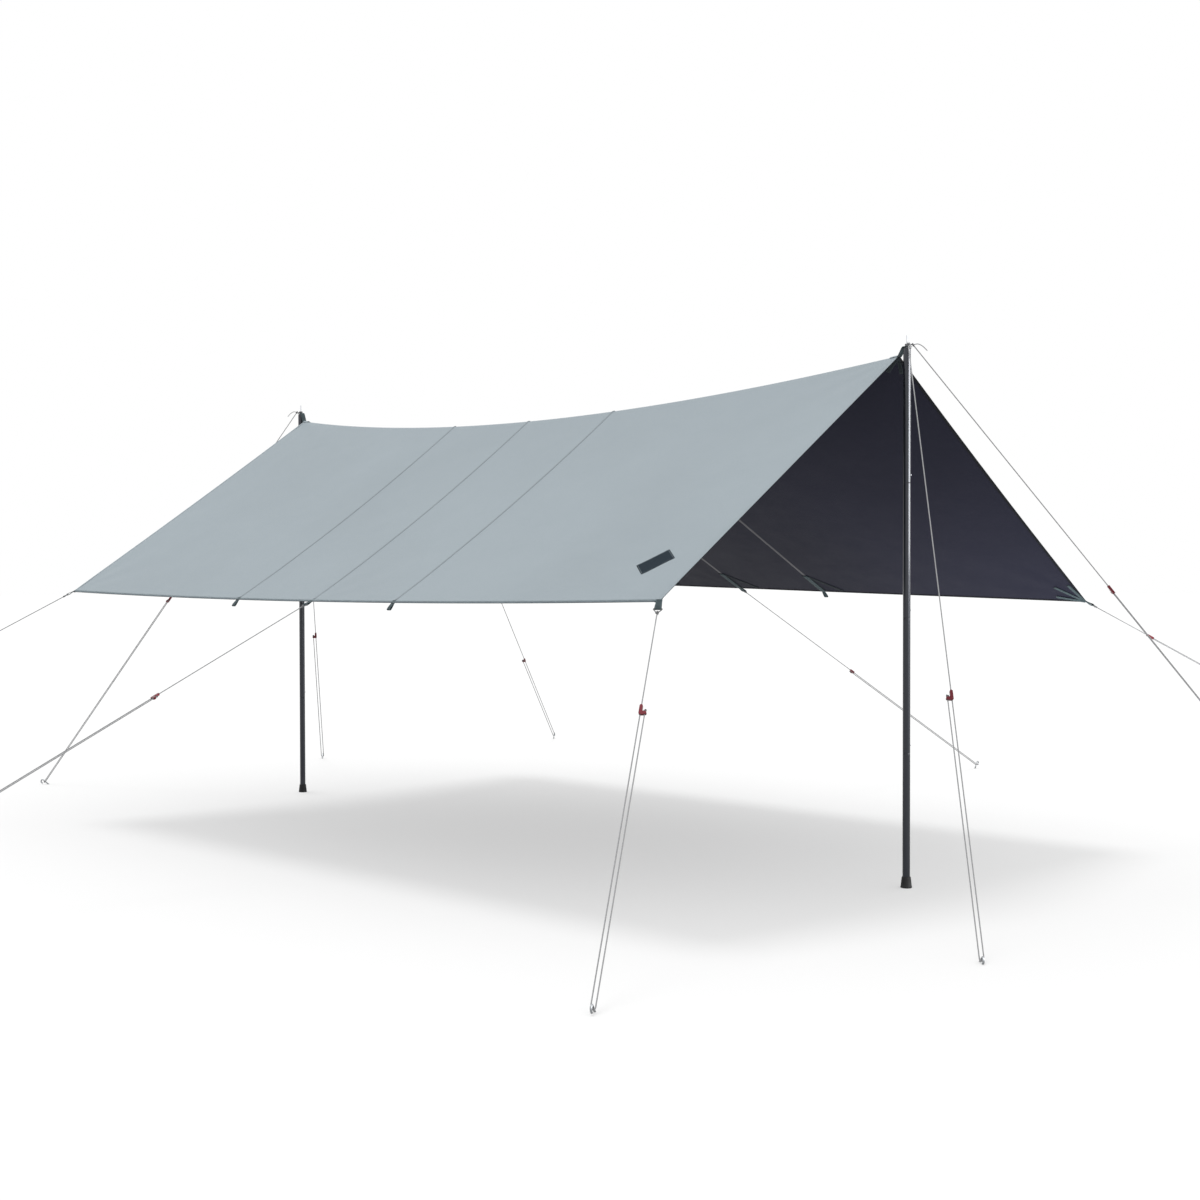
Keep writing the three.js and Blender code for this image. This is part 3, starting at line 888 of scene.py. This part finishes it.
def make_patch(material):
    """A plain patch set across the front left corner."""
    columns, rows = 16, 12
    cos, sin = math.cos(PATCH_TURN), math.sin(PATCH_TURN)
    points, place = [], []
    for lift in PATCH_LIFTS:
        for j in range(rows + 1):
            for i in range(columns + 1):
                a = (2 * i / columns - 1) * PATCH_HALF_LONG
                b = (2 * j / rows - 1) * PATCH_HALF_WIDE
                pull = max(0.0, abs(a) / PATCH_HALF_LONG + abs(b) / PATCH_HALF_WIDE - 1.9) * PATCH_CORNER
                a -= math.copysign(pull, a)
                b -= math.copysign(pull, b)
                along = PATCH_PLACE[0] + (a * cos - b * sin) / RIDGE_HALF
                across = PATCH_PLACE[1] + (a * sin + b * cos) / SLOPE
                point, normal = drawn_point(along, across)
                points.append(point + normal * lift)
                place.append((a, b, 0))
    upper, lower, rim = two_faced(columns + 1, rows + 1)
    add_piece("patch", points, upper + lower + rim, material, slot="webbing", place=place)


# ---------- poles ----------
def pole_piece(name, profile, pole, x, material, slot, node):
    """A part of a pole, turned about its axis, that stands for a CAD node."""
    piece = add_piece(name, *turned(profile, POLE_SIDES, Vector((x, 0, 0))), material, pole, slot)
    mark_flat_ends(piece)
    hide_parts(node)
    return piece


def make_tubes(pole, x, metal):
    pitch = POLE_HEIGHT / SECTIONS
    for i in range(SECTIONS):
        low = i * pitch if i else FOOT_HEIGHT - 0.02
        high = (i + 1) * pitch - (RIM_DROP if i == SECTIONS - 1 else 0)
        profile = [
            (0, low), (TUBE_R - CHAMFER, low),
            (TUBE_R, low + CHAMFER), (TUBE_R, low + 3 * CHAMFER),
            (TUBE_R, high - 3 * CHAMFER), (TUBE_R, high - CHAMFER),
            (TUBE_R - CHAMFER, high - GAP / 2), (0, high - GAP / 2),
        ]
        pole_piece(f"{pole}_tube_{i + 1}", profile, pole, x, metal, "pole_tube", f"{pole}_section_{i + 1}")


def make_foot(pole, x, material):
    profile = [
        (0, 0), (FOOT_R - 0.0015, 0), (FOOT_R, 0.0015), (FOOT_R, 0.004),
        (FOOT_R - 0.0009, 0.0055), (FOOT_TOP_R + 0.0006, FOOT_HEIGHT - 0.006),
        (FOOT_TOP_R + 0.0002, FOOT_HEIGHT - 0.002), (FOOT_TOP_R - 0.0014, FOOT_HEIGHT),
        (TUBE_R + 0.0004, FOOT_HEIGHT - 0.0004), (0, FOOT_HEIGHT - 0.0004),
    ]
    pole_piece(f"{pole}_rubber_foot", profile, pole, x, material, "rubber_foot", f"{pole}_foot")


def make_tip(pole, x, steel_material, metal):
    """A domed plug in the tube's metal, with a steel pin that goes through the ridge tab."""
    rim = POLE_HEIGHT - RIM_DROP
    dome = TUBE_R - PIN_R - 0.0012
    profile = [(0, rim - 0.004), (TUBE_R - 0.0004, rim - 0.004), (TUBE_R - 0.0002, rim + 0.0006)]
    for k in range(1, 6):
        angle = k / 6 * math.pi / 2
        profile.append((PIN_R + 0.001 + dome * math.cos(angle), rim + 0.0006 + 0.0052 * math.sin(angle)))
    top = POLE_HEIGHT + PIN_HEIGHT
    profile += [
        (PIN_R + 0.0006, POLE_HEIGHT), (PIN_R, POLE_HEIGHT + 0.0008), (PIN_R, top - 0.002),
        (PIN_R - 0.0006, top - 0.0007), (PIN_R - 0.002, top), (0, top),
    ]
    piece = pole_piece(f"{pole}_tip", profile, pole, x, steel_material, "tip_metal", f"{pole}_tip_pin")
    piece.data.materials.append(metal)
    for face in piece.data.polygons:
        face.material_index = int(face.center.z < POLE_HEIGHT - GAP)


def make_poles(metal, foot_rubber, pin_steel):
    for pole, x in (("front_pole", POLE_X), ("rear_pole", -POLE_X)):
        make_tubes(pole, x, metal)
        make_foot(pole, x, foot_rubber)
        make_tip(pole, x, pin_steel, metal)


def mark_flat_ends(piece):
    """Keeps the edges of level end faces sharp in the shading."""
    mesh = piece.data
    level = [abs(face.normal.z) > 0.98 for face in mesh.polygons]
    owners = {}
    for face in mesh.polygons:
        for key in face.edge_keys:
            owners.setdefault(key, []).append(level[face.index])
    sharp = [len(set(owners[edge.key])) > 1 for edge in mesh.edges]
    attribute = mesh.attributes.new("sharp_edge", "BOOLEAN", "EDGE")
    attribute.data.foreach_set("value", sharp)


def folded_section(width, thickness, slope, steps=10):
    """A strip's section, its two halves sloping down from a rounded middle."""
    round_half = 0.004

    def drop(a):
        return slope * (round_half - math.hypot(a, round_half))

    across = np.linspace(-width / 2, width / 2, steps + 1)
    lower = [(a, drop(a) - thickness / 2) for a in across]
    upper = [(a, drop(a) + thickness / 2) for a in across[::-1]]
    return lower + upper


def make_eyelet(name, pin, material):
    """A steel ring in the webbing, round the pin."""
    face = [(TAB_HOLE_R, -0.0014), (TAB_HOLE_R + 0.004, -0.0014), (TAB_HOLE_R + 0.0044, -0.0010)]
    ring = [(r, -z) for r, z in face] + face[::-1]
    turns = np.linspace(0, 2 * math.pi, EYELET_SIDES, endpoint=False)
    frames = [(pin, Vector((math.cos(a), math.sin(a), 0)), UP) for a in turns]
    soften(swept(f"eyelet_{name}", frames, ring, material, slot="tip_metal", closed=True), 0.0003)


def make_ridge_tab(end, name, material, cloth, ring_steel):
    """Webbing from the ridge's end up to the pole's pin, with a cloth cover where it is sewn on."""

    def on_cloth(x):
        return Vector((end * x, 0, ridge_height(end * x) + 0.001 + WEB / 2))

    def by_pin(x, z=0.0):
        return Vector((end * (POLE_X + x), 0, TAB_LEVEL + z))

    stations = [
        on_cloth(RIDGE_HALF - TAB_LAP), on_cloth(RIDGE_HALF - 0.012), on_cloth(RIDGE_HALF),
        by_pin(-TAB_REACH - 0.001, -0.003), by_pin(-0.006), by_pin(0.006), by_pin(TAB_REACH, -0.0006),
    ]
    frames = along_path(smooth_path(stations, 6), Vector((0, end, 0)))
    sections = []
    for centre, _, _ in frames:
        # the strip is folded over the ridge, and opens out flat by the pole
        free = (abs(centre.x) - RIDGE_HALF) / (POLE_X - TAB_REACH - RIDGE_HALF)
        sections.append(folded_section(TAB_WIDTH, WEB, RIDGE_SLOPE * (1 - max(0.0, min(1.0, free)))))
    tab = swept(f"ridge_webbing_{name}", frames, sections, material, slot="webbing")
    tab.data.materials.append(cloth)
    for face in tab.data.polygons:
        face.material_index = int(abs(face.center.x) < RIDGE_HALF)
    pin = by_pin(0)
    drill(tab, make_cutter(pin - UP * 0.01, pin + UP * 0.01, TAB_HOLE_R + 0.0012))
    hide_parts(f"ridge_tab_{name}")
    make_eyelet(name, pin, ring_steel)


# ---------- guy lines ----------
def flat(direction):
    return Vector((direction.x, direction.y, 0)).normalized()


def line_frame(start, end):
    down = (end - start).normalized()
    side = UP.cross(down).normalized()
    return down, side, down.cross(side).normalized()


def lay_out(name, tie, end, ground, slider):
    """Everything about one line's place: where it is tied, its peg, its directions and its tensioner."""
    foot = Vector((*ground, 0))
    tied = cloth_point(end, EDGES[tie]["side"]) if tie in EDGES else Vector((end * POLE_X, 0, CORD_LEVEL))
    rough = line_frame(tied, foot)
    if tie == "pole":
        tied = tied + flat(rough[0]) * CORD_START
    hand = -1 if name in MIRRORED else 1
    aim = foot + rough[2] * PEG_EYE - rough[1] * hand * WRAP_R
    down, across, normal = line_frame(tied, aim)
    side = across * hand
    # the loops of a pole's two lines lie one over the other
    level = CORD_LEVEL + (TIE_APART if name.endswith("pole_right") else -TIE_APART)
    return SimpleNamespace(
        name=name, body=f"tensioner_{name}_body", tie=tie, end=end, tied=tied, level=level,
        down=down, side=side, normal=normal, middle=tied + down * slider,
        foot=foot, peg=rough, aim=aim, eye=aim + side * WRAP_R,
    )


def tube_piece(name, path, radius, material, side, sides=10, body=ROOT):
    return swept(name, along_path(path, side), round_section(radius, sides), material, body, "guy_line")


def round_peg(line, start, end):
    """Part of the cord's turn behind the peg, from one angle to another."""
    across, down = line.side * WRAP_R, line.down * WRAP_R
    return [line.eye + across * math.cos(a) + down * math.sin(a) for a in np.linspace(start, end, 5)]


def make_guy_line(line, material):
    """The cord in two pieces that meet behind the peg: down to it from the tie, and back to the tensioner."""
    down, side = line.down, line.side
    start = 0 if line.tie == "pole" else LOOP_OFF_CLOTH + LOOP_LENGTH + KNOT_BEYOND
    first = line.tied + down * start
    path = [first.lerp(line.aim, i / 12) for i in range(13)]
    path += round_peg(line, math.pi, math.pi / 2)[1:]
    going = tube_piece(f"cord_{line.name}", path, CORD_R, material, line.normal)
    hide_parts(f"guy_line_{line.name}")

    back = round_peg(line, math.pi / 2, 0)
    leaves = back[-1]
    top = line.middle + side * STRANDS + down * STRAND_END
    back += [leaves.lerp(top, i / 12) for i in range(1, 13)]
    returning = tube_piece(f"cord_return_{line.name}", back, CORD_R, material, line.normal, body=None)
    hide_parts(f"guy_line_{line.name}")
    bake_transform(returning)
    return (going, path), (returning, back)


def make_knot(name, centre, ahead, side, material, body=ROOT, size=0.0019):
    """A small overhand knot."""
    out = ahead.cross(side).normalized()
    path = []
    for i in range(60):
        t = 2 * math.pi * i / 60
        along = math.sin(t) + 2 * math.sin(2 * t)
        across = math.cos(t) - 2 * math.cos(2 * t)
        path.append(centre + (ahead * along + side * across) * size + out * (-math.sin(3 * t)) * size * 1.1)
    return swept(name, along_loop(path, out), round_section(KNOT_R, 8), material, body, "guy_line", True)


def make_tie(line, material):
    """The cord's own loop: through the webbing's eye, or round the pole's pin, and back to the knot."""
    if line.tie == "pole":
        ahead, out = flat(line.down), UP
        across = UP.cross(ahead)
        knot = line.tied
        centre = Vector((line.end * POLE_X, 0, line.level))
        wide = PIN_R + TIE_R + PIN_SLACK
        half = ((wide, 0.006), (0.75 * wide, -0.7 * wide))
        far, parting = -wide, 0.0015
    else:
        ahead, across, out = line.down, line.side, line.normal
        webbing_end = line.tied + ahead * (LOOP_OFF_CLOTH + LOOP_LENGTH)
        knot = webbing_end + ahead * KNOT_BEYOND
        centre = webbing_end - ahead * 0.0047
        half = ((0.0135, 0.004), (0.0115, 0))
        far, parting = 0, 0.001
    there = [centre + across * a + ahead * b for a, b in half]
    back = [centre - across * a + ahead * b for a, b in reversed(half)]
    corners = [knot + across * parting, *there, centre + ahead * far, *back, knot - across * parting]
    frames = along_loop(smooth_path(corners, 5, closed=True), out)
    return swept(f"tie_{line.name}", frames, round_section(TIE_R, 8), material, ROOT, "guy_line", True)


def make_tail(line, material):
    """The short loose end beyond the knot on a pole's line."""
    level = flat(line.down)
    bends = ((0, 0), (0.018, 0.003), (0.036, -0.006), (0.052, -0.022))
    path = smooth_path([line.tied + level * out + UP * rise for out, rise in bends], 5)
    return tube_piece(f"tail_{line.name}", path, TAIL_R, material, UP.cross(level), 8)


def tensioner_outline():
    """The hooked slider's outline: a long arm on the single strand, a short one for the returning strand."""

    def arc(x, y, radius, begin, end):
        return [(x + radius * math.cos(a), y + radius * math.sin(a)) for a in np.linspace(begin, end, 11)]

    outline = arc(0, ARM_TOP, ARM_R, math.pi, 0)
    outline += [(ARM_R, 0.001), (ARM_R + 0.0009, -0.0022), (ARM_R + 0.0028, -0.0044)]
    outline += arc(STRANDS, -LOBE_DROP, LOBE_R, math.pi * 0.5, -math.pi / 2)
    outline += arc(0, -ARM_BOTTOM, ARM_R, -math.pi / 2, -math.pi)
    return outline


def make_tensioner(line, material):
    """A hooked slider with softened edges and a bore for each strand."""
    outline = tensioner_outline()
    count = len(outline)
    side, up, out = line.side, -line.down, line.normal
    points = []
    for z in (TENSIONER_DEPTH / 2, -TENSIONER_DEPTH / 2):
        points += [line.middle + side * x + up * y + out * z for x, y in outline]
    faces = [tuple(reversed(range(count))), tuple(range(count, 2 * count))]
    for i in range(count):
        k = (i + 1) % count
        faces.append((i, k, count + k, count + i))
    piece = add_piece(f"slider_{line.name}", points, faces, material, line.body, "tensioner", smooth=False)
    for x in (0, STRANDS):
        through = line.middle + side * x
        drill(piece, make_cutter(through - up * 0.04, through + up * 0.04, BORE_R, 20))
    soften(piece, 0.0009, 3, 30)
    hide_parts(f"tensioner_{line.name}")


def make_peg(line, material):
    """The hooked head of a steel peg, from the ground up."""
    down, side, up = line.peg

    def at(height, out):
        return line.foot + up * height + down * out

    path = [at(0.0, 0), at(PEG_STRAIGHT / 2, 0), at(PEG_STRAIGHT, 0)]
    for i in range(1, 13):
        angle = math.pi * (1 - i / 12)
        path.append(at(PEG_STRAIGHT + PEG_HOOK_R * math.sin(angle), PEG_HOOK_R * (1 + math.cos(angle))))
    path.append(at(PEG_STRAIGHT - PEG_HOOK_TIP, 2 * PEG_HOOK_R))
    points, faces, place = sweep(along_path(path, side), round_section(PEG_R, PEG_SIDES))
    # the first ring is sheared level with the ground, and the hook of a steep line goes no lower than it
    for i in range(PEG_SIDES):
        points[i] = points[i] - up * (points[i].z / up.z)
    for point in points:
        point.z = max(0.0, point.z)
    piece = add_piece(f"stake_{line.name}", points, faces, material, ROOT, "peg_metal", place)
    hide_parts(f"peg_{line.name}")


def make_buttons(material):
    """The snap buttons keep their CAD shape, with softened edges."""
    for name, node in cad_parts.items():
        if "_button_" in name:
            node.data.materials.clear()
            node.data.materials.append(material)
            soften(node, 0.0004)


def finish_line(line, going, returning, materials):
    """Everything on a guy line: its knots, loop, tensioner and peg."""
    name, down, side = line.name, line.down, line.side
    (going_piece, going_path), (return_piece, return_path) = going, returning
    on_going = [make_tie(line, materials["knots"])]
    on_going.append(make_knot(f"knot_{name}", going_path[0], down, side, materials["knots"]))
    if line.tie == "pole":
        on_going.append(make_tail(line, materials["cord"]))
    else:
        start = line.tied + down * LOOP_OFF_CLOTH
        loop = make_loop(f"webbing_loop_{name}", start, down, side, materials["webbing"], flare=1.06)
        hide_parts(f"loop_{name}")
    make_tensioner(line, materials["slider"])
    make_peg(line, materials["stake"])
    place = line.middle + side * STRANDS + down * STOPPER_DROP
    stopper = make_knot(f"stopper_{name}", place, down, side, materials["knots"], line.body, 0.0014)


# ---------- assembly ----------
make_camera()
webbing_material = webbing()
pin_steel = steel("pin_steel")
line_materials = {
    "cord": braid(),
    # knots, ties and stoppers use the cord at half its tone: painted shade
    "knots": braid("braid_knots_painted_shade", (0.12, 0.123, 0.127)),
    "webbing": webbing_material,
    "stake": steel("stake_steel", (0.27, 0.28, 0.29), 0.36),
    "slider": red_metal(),
}
lines = [lay_out(*line) for line in LINES]
cords = [make_guy_line(line, line_materials["cord"]) for line in lines]
for line, (going, returning) in zip(lines, cords):
    finish_line(line, going, returning, line_materials)

cloth_material = outer_cloth()
canopy = make_canopy(cloth_material, under_cloth())
make_seams(seam_cloth(), seam_tape())
# the hems' near-black under tape paints a shade line along the edges
make_hem(hem_tape(), cloth_material, webbing("hem_under_painted_shade", (0.004, 0.0045, 0.006), (-0.0035, 0.0035), 0))
# near-black straps, also used under the side straps as painted shade
strap_and_shade_material = webbing("strap", (0.007, 0.010, 0.012), (-0.006, 0.006), 0.02)
make_corner_straps(webbing_material)
make_ridge_straps(strap_and_shade_material)
make_side_straps(webbing_material, strap_and_shade_material)
make_free_loops(webbing_material)
make_patch(patch_cloth())

make_poles(pole_metal(), rubber(), pin_steel)
make_buttons(pin_steel)
for end, name in reversed(ENDS):
    make_ridge_tab(end, name, webbing_material, cloth_material, pin_steel)

make_sky()
make_lamps()
make_floor()
